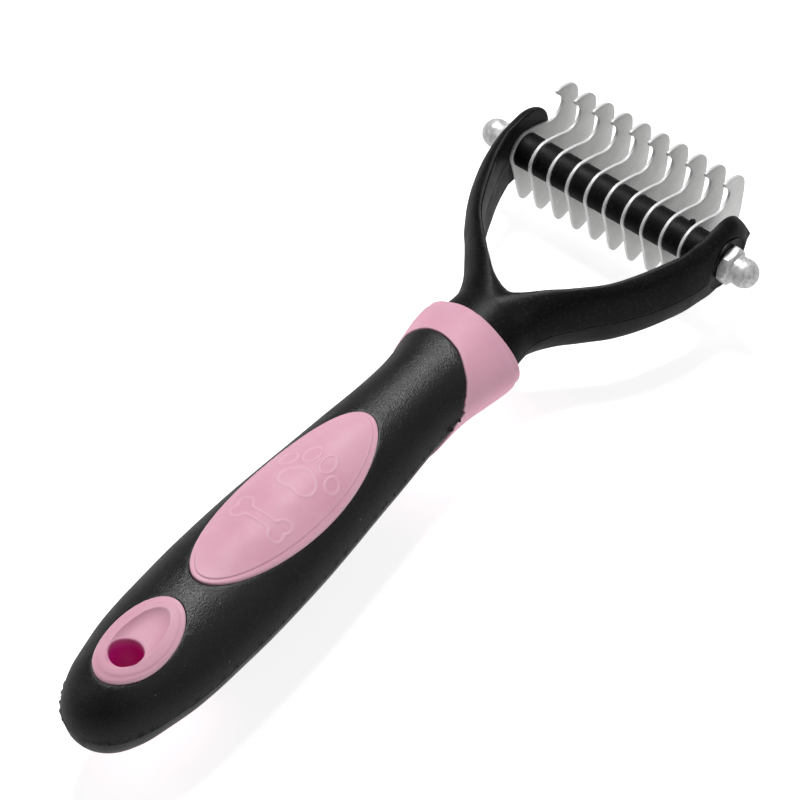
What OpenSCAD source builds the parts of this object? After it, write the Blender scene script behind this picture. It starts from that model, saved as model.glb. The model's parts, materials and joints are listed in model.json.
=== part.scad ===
// Dematting comb: a two-colour handle, a Y-shaped fork and a row of ten hooked blades
// on one threaded rod, held by a domed nut at each end.
// X runs along the rod, Y from the handle to the blades, Z up out of the thumb panel.
// Every size below is measured from the rod's axis, midway between the fork's two arms.
// The finished comb is then set down with its origin in the middle of the hanging hole.

/* [Rod and nuts] */
// Rod diameter over the thread
rod_d = 5; // [4:0.5:5]
// Radial clearance between the rod and what it passes through
rod_gap = 0.1; // [0.05:0.01:0.15]
// Nut size across its flats
nut_flats = 8; // [7:0.5:8]
// Height of the nut's hexagon
nut_hex_h = 2.4; // [2:0.1:3]
// Radius of the nut's dome
nut_dome_r = 3.3; // [3:0.1:3.5]
// Length of the round neck between the hexagon and the dome's centre
nut_neck = 2.2; // [1.5:0.1:2.6]

/* [Blades] */
// Number of blades
blade_n = 10; // [8:1:10]
// Blade thickness
blade_t = 0.7; // [0.5:0.1:0.9]
// Distance from one blade to the next
pitch = 5; // [4.8:0.1:5]
// Radius of a blade's round eye
blade_eye_r = 4.45; // [4.4:0.05:5]
// Radius of a spacer
spacer_r = 4.2; // [3.8:0.1:4.3]
// End play at each face of a blade
play = 0.02; // [0.01:0.01:0.03]

/* [Fork] */
// Half of the clear width between the arms' seats
seat_x = 25.85; // [25.8:0.05:26]
// Half of an arm's height
arm_h = 8.6; // [8:0.1:9]
// How far the arms' round ends reach beyond the rod's axis
arm_end_y = 9.2; // [9:0.1:9.3]
// Depth from the left seat to the floor of its nut's recess
arm_wall_left = 2.2; // [2:0.05:2.6]
// Depth from the right seat to the floor of its nut's recess
arm_wall_right = 3.2; // [2.6:0.05:3.3]
// Radius of the nut's recess
recess_r = 6.1; // [5.5:0.1:6.3]
// Length of the tang inside the handle
tang_l = 34; // [25:1:40]
// Half width of the tang
tang_w = 5.4; // [4.5:0.1:5.6]
// Half height of the tang
tang_h = 3.8; // [3:0.1:4]

/* [Handle] */
// Where the collar's front face is
collar_y = -50.4; // [-50.8:0.1:-50]
// Round on the collar's front edge, at its two sides
collar_round = 2.4; // [1.5:0.1:2.6]
// Round on the collar's front edge, at its top and bottom
collar_round_top = 0.6; // [0.4:0.1:0.8]
// Where the handle ends
butt_y = -176.4; // [-178:0.2:-176.2]
// Length over which the butt is rounded
butt_round = 12.2; // [11:0.1:14]
// Half width of the core's hidden stem
stem_w = 7.6; // [7.2:0.1:8]
// Half height of the core's hidden stem
stem_h = 6; // [5.6:0.1:6.4]
// Gap left between pieces that are bonded together
bond = 0.03; // [0.02:0.01:0.05]
// How far the stem reaches into the collar
stem_lap = 2; // [1:0.5:4]

/* [Grip, thumb panel and hanging eye] */
// Tip of the grip's rounded tongue on the collar
tongue_y = -58.9; // [-60:0.1:-58]
// Where the tongue's sides reach the parting line on the handle's flanks
tongue_root_y = -70; // [-72:0.5:-69]
// Front edge of the grip on the handle's underside
under_y = -77.5; // [-79:0.5:-76]
// Centre of the thumb panel
panel_y = -112.4; // [-113:0.1:-111]
// Half length of the thumb panel
panel_l = 27; // [22:0.1:28]
// Half width of the thumb panel
panel_w = 10; // [8.5:0.1:10.4]
// Height of the thumb panel above the grip
panel_rise = 0.9; // [0.4:0.1:1.2]
// Centre of the hanging eye's surround
eye_y = -156.8; // [-157.5:0.1:-156]
// Half length of the hanging eye's surround
eye_l = 11.4; // [11:0.1:11.8]
// Half width of the hanging eye's surround
eye_w = 7; // [6.8:0.1:7.6]
// Height of the surround above the grip
eye_rise = 0.7; // [0.2:0.1:0.9]
// Centre of the hanging hole
hole_y = -160.6; // [-161:0.1:-160]
// Radius of the hanging hole
hole_r = 3.5; // [3.3:0.1:3.8]
// Depth of the hollow that leads into the hole
scoop_depth = 1.9; // [1.4:0.1:2.2]
// Radius of the hollow's section
scoop_r = 5.3; // [4.8:0.1:5.6]

/* [Hidden] */

$fn = 48;
around = 44;              // points round a lofted section
corner_steps = 11;        // points on one rounded corner of the fork's section
big = 400;                // longer than the part
nut_left = -(seat_x + arm_wall_left + play);            // where the left nut seats
nut_right = seat_x + arm_wall_right + play;             // where the right nut seats
nut_corner_r = nut_flats / 2 / cos(30);
nut_bore_depth = 5.5;
nut_thread_gap = 0.03;
rod_end_gap = 0.5;
rod_left = nut_left - nut_bore_depth + rod_end_gap;
rod_right = nut_right + nut_bore_depth - rod_end_gap;
first_blade_x = -(seat_x - play - blade_t / 2);
spacer_l = pitch - blade_t - 2 * play;
last_blade_x = first_blade_x + (blade_n - 1) * pitch;
last_spacer_l = seat_x - last_blade_x - blade_t / 2 - 2 * play;
arm_round_y = arm_end_y - arm_h;                        // where an arm's round end starts

// Fork: half width over the outside, from the shank to the tips: [y, x]
fork_outer = [[-51, 10.4], [-49, 10.3], [-44.5, 10.1], [-41.8, 10.8], [-38.3, 12.5], [-35, 14.8],
              [-31, 17.8], [-28, 20.3], [-25, 22.3], [-22, 24.2], [-18, 26.2], [-12, 28.4],
              [-6, 29.6], [0, 30.1], [5, 29.9], [9.2, 28.4]];
// Fork: half width of the opening between the arms, ahead of the crotch: [y, x]
fork_inner = [[-31, 12.3], [-27.4, 15.8], [-24.8, 17.7], [-21.7, 19.4], [-18.6, 20.9],
              [-15.3, 22.1], [-11.4, 23.4], [-9, 24]];
// Crotch: its edge on the fork's top and bottom, and its nose at mid height: [x, y]
crotch_edge = [[0, -44], [1.4, -42.6], [2.7, -41.05], [3.8, -39.8], [5.3, -38.1], [6.8, -36.4],
               [8, -35.1], [10.2, -33.05], [12.3, -31]];
crotch_nose = [[0, -37.3], [1.8, -37.2], [3.2, -36.9], [4.4, -36.55], [5.8, -36], [7.2, -35.2],
               [8.4, -34.4], [10.3, -32.8], [12.3, -31]];
seat_start_y = -4.6;
seat_ramp_y = -9;

// Handle: half width [y, x] and half height [y, z]
handle_wide = [[-177.2, 10.3], [-169, 10.5], [-165, 11.2], [-161.6, 12], [-155.4, 13.3],
               [-150, 13.9], [-144, 14.2], [-132, 14.5], [-117, 14.1], [-107, 13.4], [-98, 12.6],
               [-87, 11.7], [-78, 10.9], [-70, 10.6], [-65, 11], [-61, 11.8], [-55.5, 12.8],
               [-51.5, 13], [-49, 13]];
handle_high = [[-177.2, 10.3], [-165, 10.8], [-155, 11.2], [-135, 11.2], [-110, 10.8], [-90, 10.1],
               [-78, 9.5], [-68, 9.3], [-60, 9.4], [-54, 9.6], [-49, 9.6]];

// Front edge of the grip's tongue, seen from above; its tip lies left of the middle: [x, y]
tongue_edge = [[-10.9, -64], [-10.7, -61.6], [-9.6, -60.3], [-6.4, tongue_y - 0.2], [-3.8, tongue_y],
               [-1.3, tongue_y - 0.2], [1.6, -59.8], [4.2, -60.8], [8, -63.4], [9.2, -64.7],
               [10.1, -66.3], [10.5, -67.8], [10.75, tongue_root_y]];

scoop_z = along(handle_high, eye_y) + eye_rise - scoop_depth + scoop_r;   // centre of the hollow's section

// Blade outline, from the eye forward along the hooked edge and back under: [y, z]
blade_points = [[1, 4.33], [3, 3.7], [6.4, 2.3], [9.6, 0.75], [11.6, 0.6], [13.4, 1.6], [14.2, 3.6],
                [13.3, 5.6], [12, 7.2], [12.1, 8.1], [14.4, 7.9], [17.2, 6.6], [19.2, 4.4],
                [19.9, 1.8], [19.7, -2], [19.2, -6.4], [17.9, -10], [14.6, -13.4], [9.4, -15.7],
                [4, -16.8], [1.2, -17], [-0.5, -15.9], [-1.6, -13], [-2.6, -8.4], [-3.5, -3.9],
                [-4.1, -1.7]];

// Smooth curve through a table of [position, value] pairs
function slope(t, i) =
    let (a = max(i - 1, 0), b = min(i + 1, len(t) - 1))
    (t[b][1] - t[a][1]) / (t[b][0] - t[a][0]);
function piece(t, s, i = 0) =
    (i >= len(t) - 2 || s < t[i + 1][0]) ? i : piece(t, s, i + 1);
function along(t, s) =
    let (i = piece(t, s), h = t[i + 1][0] - t[i][0], u = (s - t[i][0]) / h)
    (2 * pow(u, 3) - 3 * pow(u, 2) + 1) * t[i][1] + (pow(u, 3) - 2 * pow(u, 2) + u) * h * slope(t, i)
    + (3 * pow(u, 2) - 2 * pow(u, 3)) * t[i + 1][1] + (pow(u, 3) - pow(u, 2)) * h * slope(t, i + 1);

// Smooth open curve through a list of points, steps points to each span
function curve(p, steps) =
    [for (i = [0 : len(p) - 2])
        let (a = p[max(i - 1, 0)], b = p[i], c = p[i + 1], d = p[min(i + 2, len(p) - 1)])
        for (k = [0 : steps - 1])
            let (u = k / steps)
            0.5 * (2 * b + (c - a) * u + (2 * a - 5 * b + 4 * c - d) * u * u
                   + (3 * b - a - 3 * c + d) * u * u * u)];

function ellipse_points(w, l, n = 64) = [for (i = [0 : n - 1]) [w * cos(360 * i / n), l * sin(360 * i / n)]];

// Solid skinned over a list of closed sections with equal numbers of points
module skin(sections) {
    m = len(sections);
    n = len(sections[0]);
    polyhedron(
        points = [for (s = sections) for (p = s) p],
        faces = concat(
            [[for (i = [n - 1 : -1 : 0]) i]],
            [[for (i = [0 : n - 1]) (m - 1) * n + i]],
            [for (j = [0 : m - 2]) for (i = [0 : n - 1])
                [j * n + i, j * n + (i + 1) % n, (j + 1) * n + i]],
            [for (j = [0 : m - 2]) for (i = [0 : n - 1])
                [j * n + (i + 1) % n, (j + 1) * n + (i + 1) % n, (j + 1) * n + i]]));
}

// ---- handle shape ----
function butt_factor(y) =
    let (s = max(0, (butt_y + butt_round - y) / butt_round))
    sqrt(max(0.0009, 1 - s * s));
function collar_drop(y, r) =
    let (s = max(0, y - (collar_y - r)))
    r - sqrt(max(0, r * r - s * s));
function handle_ys() = concat(
    [for (a = [12 : 8.67 : 90.1]) butt_y + butt_round * (1 - cos(a))],
    [for (y = [butt_y + butt_round + 3.5 : 4.3 : collar_y - collar_round - 1]) y],
    [for (a = [0 : 18 : 90]) collar_y - collar_round + collar_round * sin(a)]);
function handle_section(y, grow) =
    let (f = butt_factor(y),
         w = (along(handle_wide, y) - collar_drop(y, collar_round)) * f + grow,
         h = (along(handle_high, y) - collar_drop(y, collar_round_top)) * f + grow)
    [for (i = [0 : around - 1]) [w * cos(360 * i / around), y, h * sin(360 * i / around)]];

module handle_body(grow = 0, from = -big, to = big) {
    skin([for (y = handle_ys()) if (y > from && y < to) handle_section(y, grow)]);
}

// The grip's outline seen from above: a rounded tongue on top, a straighter edge underneath
function under_at(x) = under_y + (tongue_root_y - under_y) * pow(min(1, abs(x) / 10.65), 16);
module grip_zone(shift = 0) {
    top_edge = concat(curve(tongue_edge, 4), [[20, tongue_root_y]]);
    under_edge = concat([[-20, tongue_root_y]],
                        [for (x = [-10.65 : 0.355 : 10.66]) [x, under_at(x)]], [[20, tongue_root_y]]);
    behind = [[20, -big / 2], [-20, -big / 2]];
    translate([0, shift, 0])
        linear_extrude(big / 2)
            polygon(concat([[-20, -64]], top_edge, behind));
    translate([0, shift, -big / 2])
        linear_extrude(big / 2 + 0.001)
            polygon(concat(under_edge, behind));
}

module oval_column(y, w, l, z0, z1) {
    translate([0, y, z0])
        linear_extrude(z1 - z0)
            polygon(ellipse_points(w, l));
}

module stem(extra = 0) {
    r = 3;
    w = stem_w + extra;
    h = stem_h + extra;
    front = tongue_y + stem_lap;
    rear = eye_y - 2;
    translate([0, front, 0])
        rotate([90, 0, 0])
            linear_extrude(front - rear)
                union() {
                    square([2 * w, 2 * (h - r)], center = true);
                    square([2 * (w - r), 2 * h], center = true);
                    for (sx = [-1, 1], sz = [-1, 1])
                        translate([sx * (w - r), sz * (h - r)])
                            circle(r = r);
                }
}

module tang(extra = 0) {
    translate([-tang_w - extra, collar_y - tang_l - extra, -tang_h - extra])
        cube([2 * (tang_w + extra), tang_l + extra + 0.5, 2 * (tang_h + extra)]);
}

module thumb_panel_column(gap) {
    oval_column(panel_y, panel_w - gap, panel_l - gap, 0, 30);
}
module eye_column(gap) {
    oval_column(eye_y, eye_w - gap, eye_l - gap, -30, 30);
}

// ---- pieces ----
module handle_core() {
    color([0.89, 0.67, 0.77])
        difference() {
            union() {
                difference() {
                    handle_body(0, under_y - 5);
                    grip_zone(bond);
                }
                stem();
                intersection() {
                    handle_body(panel_rise, panel_y - panel_l - 5, panel_y + panel_l + 5);
                    thumb_panel_column(bond);
                }
                intersection() {
                    handle_body(eye_rise, butt_y, eye_y + eye_l + 5);
                    eye_column(bond);
                }
            }
            tang(bond);
            translate([0, hole_y, -big / 2])
                cylinder(r = hole_r, h = big);
            // spoon-shaped hollow leading into the hole
            hull()
                for (y = [hole_y, eye_y + 4.4])
                    translate([0, y, scoop_z])
                        sphere(r = scoop_r, $fn = 32);
        }
}

module grip_sleeve() {
    color([0.14, 0.14, 0.14])
        difference() {
            intersection() {
                handle_body();
                grip_zone();
            }
            stem(bond);
            thumb_panel_column(0);
            eye_column(0);
        }
}

// ---- fork ----
function arm_tip_h(y) = sqrt(pow(arm_h, 2) - pow(max(0, y - arm_round_y), 2));
function fork_ys() = concat(
    [for (y = [collar_y + 0.02 : 1.4 : -32]) y],
    [for (y = [-31 : 2.5 : 0]) y],
    [for (a = [0 : 7 : 84]) arm_round_y + arm_h * sin(a)],
    [for (a = [86.5, 89]) arm_round_y + arm_h * sin(a)]);
// From the middle plane to where the fork's section starts to fall away
fork_flat = concat([[-51, 0.4], [-45, 0.4]],
                   [for (p = crotch_edge) if (p[1] < -31) [p[1], max(0.4, p[0])]],
                   fork_inner);
function arm_thick(y) = along(fork_outer, y) - (y >= seat_start_y ? seat_x : along(fork_flat, min(y, seat_ramp_y)));
function fork_section(y) =
    let (w = along(fork_outer, y), h = arm_tip_h(y), r = arm_thick(y), k = corner_steps)
    concat(
        [for (i = [0 : k]) let (a = 90 * i / k) [w - r + r * cos(a), y, h * sin(a)]],
        [for (i = [0 : k]) let (a = 90 + 90 * i / k) [-(w - r) + r * cos(a), y, h * sin(a)]],
        [for (i = [1 : k]) let (a = 180 + 90 * i / k) [-(w - r) + r * cos(a), y, h * sin(a)]],
        [for (i = [0 : k - 1]) let (a = 270 + 90 * i / k) [w - r + r * cos(a), y, h * sin(a)]]);

function mirrored(p) = concat(p, [for (i = [len(p) - 1 : -1 : 0]) if (p[i][0] > 0) [-p[i][0], p[i][1]]]);
module fork_opening() {
    sides = concat([for (y = [-31 : 0.8 : seat_ramp_y - 0.2]) [along(fork_inner, y), y]],
                   [[along(fork_inner, seat_ramp_y), seat_ramp_y], [seat_x, seat_start_y], [seat_x, 30]]);
    translate([0, 0, -big / 2])
        linear_extrude(big)
            polygon(mirrored(sides));
    crotch_pocket();
}

// The crotch is rounded from its edge on the top to its nose at mid height and back under
module crotch_pocket() {
    edge = curve(crotch_edge, 2);
    nose = curve(crotch_nose, 2);
    levels = concat([arm_h + 1], [for (a = [90 : -10 : -90]) arm_h * sin(a)], [-arm_h - 1]);
    skin([for (z = levels)
        let (k = sqrt(max(0, 1 - pow(z / arm_h, 2))),
             half = concat([for (i = [0 : len(edge) - 1]) edge[i] * (1 - k) + nose[i] * k],
                           [[12.3, -31], [12.4, -30]]))
        [for (q = mirrored(half)) [q[0], q[1], z]]]);
}

module fork() {
    color([0.1, 0.1, 0.1])
        difference() {
            union() {
                difference() {
                    skin([for (y = fork_ys()) fork_section(y)]);
                    fork_opening();
                }
                tang();
            }
            translate([-big / 2, 0, 0])
                rotate([0, 90, 0])
                    cylinder(r = rod_d / 2 + rod_gap, h = big);
            translate([nut_right - play, 0, 0])
                rotate([0, 90, 0])
                    cylinder(r = recess_r, h = 20);
            translate([nut_left + play, 0, 0])
                rotate([0, -90, 0])
                    cylinder(r = recess_r, h = 20);
        }
}

// ---- blades, spacers, rod and nuts ----
module blade(i) {
    color([0.7, 0.7, 0.7])
        translate([first_blade_x + i * pitch - blade_t / 2, 0, 0])
            rotate([90, 0, 90])
                linear_extrude(blade_t)
                    difference() {
                        polygon(concat(curve(blade_points, 3),
                                       [for (a = [202 : -8 : 82]) blade_eye_r * [cos(a), sin(a)]]));
                        circle(r = rod_d / 2 + rod_gap);
                    }
}

module spacer(i) {
    length = i == blade_n - 1 ? last_spacer_l : spacer_l;
    color([0.12, 0.12, 0.12])
        translate([first_blade_x + i * pitch + blade_t / 2 + play, 0, 0])
            rotate([0, 90, 0])
                difference() {
                    cylinder(r = spacer_r, h = length);
                    translate([0, 0, -1])
                        cylinder(r = rod_d / 2 + rod_gap, h = length + 2);
                }
}

module threaded_rod() {
    color([0.75, 0.75, 0.78])
        translate([rod_left, 0, 0])
            rotate([0, 90, 0])
                cylinder(r = rod_d / 2, h = rod_right - rod_left);
}

// Nut on its side, seated at x = 0 with its dome towards +X
module acorn_nut() {
    neck_r = nut_dome_r - 0.1;
    rotate([0, 90, 0])
        difference() {
            union() {
                // hexagon with its outer corners turned off
                intersection() {
                    cylinder(r = nut_corner_r, h = nut_hex_h, $fn = 6);
                    union() {
                        cylinder(r = nut_corner_r + 1, h = nut_hex_h - 0.7);
                        translate([0, 0, nut_hex_h - 0.7])
                            cylinder(r1 = nut_corner_r, r2 = nut_corner_r - 0.9, h = 0.7);
                    }
                }
                cylinder(r = neck_r, h = nut_hex_h + nut_neck);
                translate([0, 0, nut_hex_h + nut_neck])
                    sphere(r = nut_dome_r);
            }
            translate([0, 0, -1])
                cylinder(r = rod_d / 2 + nut_thread_gap, h = nut_bore_depth + 1);
        }
}

module acorn_nut_right() {
    color([0.85, 0.85, 0.85])
        translate([nut_right, 0, 0])
            acorn_nut();
}

module acorn_nut_left() {
    color([0.85, 0.85, 0.85])
        translate([nut_left, 0, 0])
            mirror([1, 0, 0])
                acorn_nut();
}

// Sets a piece down with the hanging hole's centre at the origin
module placed() {
    translate([0, -hole_y, 0])
        children();
}

placed() fork();
placed() handle_core();
placed() grip_sleeve();
placed() threaded_rod();
placed() acorn_nut_left();
placed() acorn_nut_right();
placed() blade(0);  // blade_01
placed() blade(1);  // blade_02
placed() blade(2);  // blade_03
placed() blade(3);  // blade_04
placed() blade(4);  // blade_05
placed() blade(5);  // blade_06
placed() blade(6);  // blade_07
placed() blade(7);  // blade_08
placed() blade(8);  // blade_09
placed() blade(9);  // blade_10
placed() spacer(0);  // spacer_01
placed() spacer(1);  // spacer_02
placed() spacer(2);  // spacer_03
placed() spacer(3);  // spacer_04
placed() spacer(4);  // spacer_05
placed() spacer(5);  // spacer_06
placed() spacer(6);  // spacer_07
placed() spacer(7);  // spacer_08
placed() spacer(8);  // spacer_09
placed() spacer(9);  // spacer_10
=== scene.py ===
"""A dematting comb: its visible pieces, materials, light and camera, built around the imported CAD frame.

Lengths are in millimetres unless a name ends in _M. They are measured from the threaded rod's axis,
midway between the fork's arms, as in the CAD part: X along the rod, Y from the handle to the blades
and Z up out of the thumb panel. in_row() turns them into the frame's metres.
"""
import json
import math

import bmesh
import bpy
import numpy as np
from mathutils import Matrix, Vector
from mathutils.geometry import delaunay_2d_cdt
from mathutils.kdtree import KDTree


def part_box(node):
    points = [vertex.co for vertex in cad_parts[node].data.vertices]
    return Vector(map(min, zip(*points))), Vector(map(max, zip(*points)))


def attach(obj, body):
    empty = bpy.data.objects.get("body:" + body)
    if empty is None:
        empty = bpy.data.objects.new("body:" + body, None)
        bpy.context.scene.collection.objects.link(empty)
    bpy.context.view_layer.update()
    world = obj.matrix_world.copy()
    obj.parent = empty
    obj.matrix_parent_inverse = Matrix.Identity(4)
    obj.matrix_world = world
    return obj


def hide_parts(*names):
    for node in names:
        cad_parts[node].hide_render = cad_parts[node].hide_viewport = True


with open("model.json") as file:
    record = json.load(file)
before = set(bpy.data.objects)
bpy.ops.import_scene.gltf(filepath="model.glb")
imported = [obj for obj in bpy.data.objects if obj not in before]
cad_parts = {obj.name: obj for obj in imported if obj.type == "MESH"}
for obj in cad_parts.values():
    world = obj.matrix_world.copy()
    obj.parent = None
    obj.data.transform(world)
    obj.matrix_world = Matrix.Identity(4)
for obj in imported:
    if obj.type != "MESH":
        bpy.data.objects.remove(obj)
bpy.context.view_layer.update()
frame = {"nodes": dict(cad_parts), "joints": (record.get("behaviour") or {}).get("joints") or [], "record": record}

MM = 0.001
ROD_Y_M = [j for j in frame["joints"] if j["name"] == "blade_angle"][0]["pos_m"][1]
MERGE_M = 2e-7          # points closer than this are one point


def cad_box(node):
    """Lowest and highest corner of a CAD node, in this script's millimetres."""
    return [(np.array(corner) - [0, ROD_Y_M, 0]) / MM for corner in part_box(node)]


def in_row(points):
    """This script's millimetres as the frame's metres."""
    return (np.asarray(points, float) * MM) + [0, ROD_Y_M, 0]


# ---------------------------------------------------------------- driving sizes, from the frame
FORK_HIGH = cad_box("fork")[1]
ROD_LOW, ROD_HIGH = cad_box("threaded_rod")
NUT_LOW, NUT_HIGH = cad_box("acorn_nut_right")
BLADES = sorted(n for n in frame["nodes"] if n.startswith("blade_"))
SPACERS = sorted(n for n in frame["nodes"] if n.startswith("spacer_"))

ARM_H = FORK_HIGH[2]                      # half of an arm's height
ARM_END = FORK_HIGH[1]                    # tip of the arms
ARM_PAST = 0.8                            # how far the visible arms reach past the CAD arms
ARM_ROUND_Y = ARM_END + ARM_PAST - ARM_H  # where the arms' round ends start
SEAT_GAP = 0.02                           # between the fork and a piece seated on it
SEAT_X = -cad_box(BLADES[0])[0][0] + SEAT_GAP     # an arm's inner face at its seat
FLOOR_RIGHT = NUT_LOW[0] - SEAT_GAP       # floors of the nuts' recesses
FLOOR_LEFT = -cad_box("acorn_nut_left")[1][0] - SEAT_GAP
RECESS_R = 6.1                            # radius of a nut's recess
RECESS_LIP = 0.45                         # round on its edge
BORE_R = 2.6                              # radius of the holes that the rod runs through
SEAT_START = -4.6                         # where the arms' flat seats start
COLLAR_Y = cad_box("handle_core")[1][1]   # front face of the collar
COLLAR_ROUND = 2.4                        # round on the collar's front edge, at its sides
COLLAR_ROUND_TOP = 0.6                    # and at its top and bottom
BUTT_Y = -176.4                           # back end of the handle
BUTT_ROUND = 12.2
PANEL_Y, PANEL_L, PANEL_W = -112.4, 27.0, 10.0    # the thumb panel's middle and half sizes
PANEL_RISE = 0.9                          # height of its crown above the grip
EYE_Y, EYE_L, EYE_W = -156.8, 11.4, 7.0   # the hanging eye's middle and half sizes
EYE_RISE = 0.7                            # its height above the grip
HOLE_Y = -ROD_Y_M / MM                    # the frame's origin is the hole's centre
HOLE_R = frame["record"]["mounts"][0]["dims"]["r_mm"]
FIT = 0.06                                # visible gap between two mouldings
HANDLE_STEP = 0.9                         # spacing of points on the handle


# ---------------------------------------------------------------- curves
def profile(table):
    """Smooth function through a table of (place, value) pairs."""
    places, values = np.array(table, float).T
    last = len(places) - 1
    before = np.maximum(np.arange(last + 1) - 1, 0)
    after = np.minimum(np.arange(last + 1) + 1, last)
    slopes = (values[after] - values[before]) / (places[after] - places[before])

    def at(s):
        s = np.asarray(s, float)
        i = np.clip(np.searchsorted(places, s, side="right") - 1, 0, last - 1)
        h = places[i + 1] - places[i]
        u = np.clip((s - places[i]) / h, 0, 1)
        return ((2 * u**3 - 3 * u**2 + 1) * values[i] + (u**3 - 2 * u**2 + u) * h * slopes[i]
                + (3 * u**2 - 2 * u**3) * values[i + 1] + (u**3 - u**2) * h * slopes[i + 1])
    return at


def curve(points, steps):
    """Smooth open curve through points, steps points to each span, with the last point."""
    p = np.array(points, float)
    found = []
    for i in range(len(p) - 1):
        a, b, c, d = p[max(i - 1, 0)], p[i], p[i + 1], p[min(i + 2, len(p) - 1)]
        for k in range(steps):
            u = k / steps
            found.append(0.5 * (2 * b + (c - a) * u + (2 * a - 5 * b + 4 * c - d) * u * u
                                + (3 * b - a - 3 * c + d) * u**3))
    return np.array(found + [p[-1]])


def smooth(low, high, value):
    """0 up to low, 1 from high on and a smooth run between; low may be the larger of the two."""
    u = np.clip((np.asarray(value, float) - low) / (high - low), 0, 1)
    return u * u * (3 - 2 * u)


def hump(distance, width):
    """A bell curve: 1 at no distance, and close to 0 beyond twice the width."""
    return np.exp(-(distance / width)**2)


def columns(*values):
    """Points from their coordinates. A single number goes to every point."""
    return np.stack(np.broadcast_arrays(*values), 1)


def full_turn(count):
    """Evenly spaced angles round a circle."""
    return np.linspace(0, 2 * np.pi, count, endpoint=False)


def ellipse(half_w, half_l, count, centre_y=0.0):
    """Points of an ellipse seen from above, starting at +X."""
    a = full_turn(count)
    return columns(half_w * np.cos(a), centre_y + half_l * np.sin(a))


def lip(distance, radius):
    """How far a rounded edge has fallen at a distance inside its rim."""
    inside = np.clip(radius - distance, 0, radius)
    return radius - np.sqrt(radius**2 - inside**2)


# ---------------------------------------------------------------- mesh building
def linked(name, data):
    """A new object in the scene."""
    made = bpy.data.objects.new(name, data)
    bpy.context.scene.collection.objects.link(made)
    return made


def make_piece(name, points, faces, body, slot, replaced, sharp_deg=32, edge=None, deep=None, tone=0.0):
    """One closed piece of the object, in place, with its smooth normals and its attributes."""
    mesh = bpy.data.meshes.new(name)
    mesh.from_pydata(in_row(points).tolist(), [], [list(map(int, f)) for f in faces])
    # edge carries painted highlights along rims and ridges; deep carries painted shade inside the hanging hole
    for label, values in (("edge", edge), ("deep", deep)):
        values = np.zeros(len(points)) if values is None else values
        mesh.attributes.new(label, "FLOAT", "POINT").data.foreach_set("value", np.asarray(values, np.float32))
    bm = bmesh.new()
    bm.from_mesh(mesh)
    bmesh.ops.remove_doubles(bm, verts=bm.verts, dist=MERGE_M)
    bmesh.ops.dissolve_degenerate(bm, edges=bm.edges, dist=MERGE_M)
    bmesh.ops.recalc_face_normals(bm, faces=bm.faces)
    bm.to_mesh(mesh)
    bm.free()
    mesh.attributes.new("tone", "FLOAT", "POINT").data.foreach_set(
        "value", np.full(len(mesh.vertices), tone, np.float32))
    mesh.shade_smooth()
    mesh.set_sharp_from_angle(angle=math.radians(sharp_deg))
    piece = linked(name, mesh)
    mesh.materials.append(MATERIALS[slot])
    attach(piece, body)
    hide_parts(*replaced)
    return piece


def strips(loops, wrap=False, closed=True):
    """Points and faces of a surface through loops with equal numbers of points."""
    count = len(loops[0])
    points = np.concatenate(loops)
    across = count if closed else count - 1
    pairs = [(i, i + 1) for i in range(len(loops) - 1)] + ([(len(loops) - 1, 0)] if wrap else [])
    faces = [(a * count + i, a * count + (i + 1) % count, b * count + (i + 1) % count, b * count + i)
             for a, b in pairs for i in range(across)]
    return points, faces


def joined(parts):
    """Several (points, faces) as one."""
    points, faces, start = [], [], 0
    for more, sides in parts:
        points.append(more)
        faces += [tuple(i + start for i in f) for f in sides]
        start += len(more)
    return np.concatenate(points), faces


def turned(rows, count, radius=None):
    """Closed shape turned about X: rows are (x, r), and radius(r, angles) may shape a row."""
    angles = full_turn(count)
    loops = []
    for x, r in rows:
        reach = r if radius is None else radius(r, angles)
        loops.append(columns(x, reach * np.cos(angles), reach * np.sin(angles)))
    return strips(loops)


def inside_polygon(points, polygon):
    """Which flat points lie inside a polygon, by counting its crossings to one side."""
    x, y = points[:, 0][:, None], points[:, 1][:, None]
    ax, ay = polygon[:, 0][None], polygon[:, 1][None]
    bx, by = np.roll(ax, -1, 1), np.roll(ay, -1, 1)
    crosses = (ay > y) != (by > y)
    at = ax + (y - ay) * (bx - ax) / np.where(by == ay, 1e-12, by - ay)
    return (crosses & (x < at)).sum(1) % 2 == 1


def search_tree(points):
    tree = KDTree(len(points))
    for i, p in enumerate(points):
        tree.insert(p, i)
    tree.balance()
    return tree


def triangulate(outline, holes, lines, grid, clear):
    """Triangles over a flat outline with holes. lines are crisp features, and grid points within clear
    of a line or a rim are left out."""
    rims = [outline] + holes
    fixed = np.concatenate(rims + lines)
    tree = search_tree(columns(*fixed.T, 0))
    keep = inside_polygon(grid, outline)
    for hole in holes:
        keep &= ~inside_polygon(grid, hole)
    grid = grid[keep]
    grid = np.array([p for p in grid if tree.find((p[0], p[1], 0))[2] > clear])
    edges, start = [], 0
    for rim in rims:
        edges += [(start + i, start + (i + 1) % len(rim)) for i in range(len(rim))]
        start += len(rim)
    for line in lines:
        edges += [(start + i, start + i + 1) for i in range(len(line) - 1)]
        start += len(line)
    every = np.concatenate([fixed, grid])
    found = delaunay_2d_cdt([Vector(p) for p in every], edges, [], 0, 1e-6, False)
    flat = np.array([tuple(p) for p in found[0]])
    faces = np.array(found[2])
    centre = flat[faces].mean(1)
    keep = inside_polygon(centre, outline)
    for hole in holes:
        keep &= ~inside_polygon(centre, hole)
    return flat, faces[keep]


def rim_edges(faces):
    """Edges with a face on one side only, in the face's direction."""
    directed = {(f[i], f[(i + 1) % 3]) for f in faces.tolist() for i in range(3)}
    return [(a, b) for a, b in directed if (b, a) not in directed]


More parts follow.
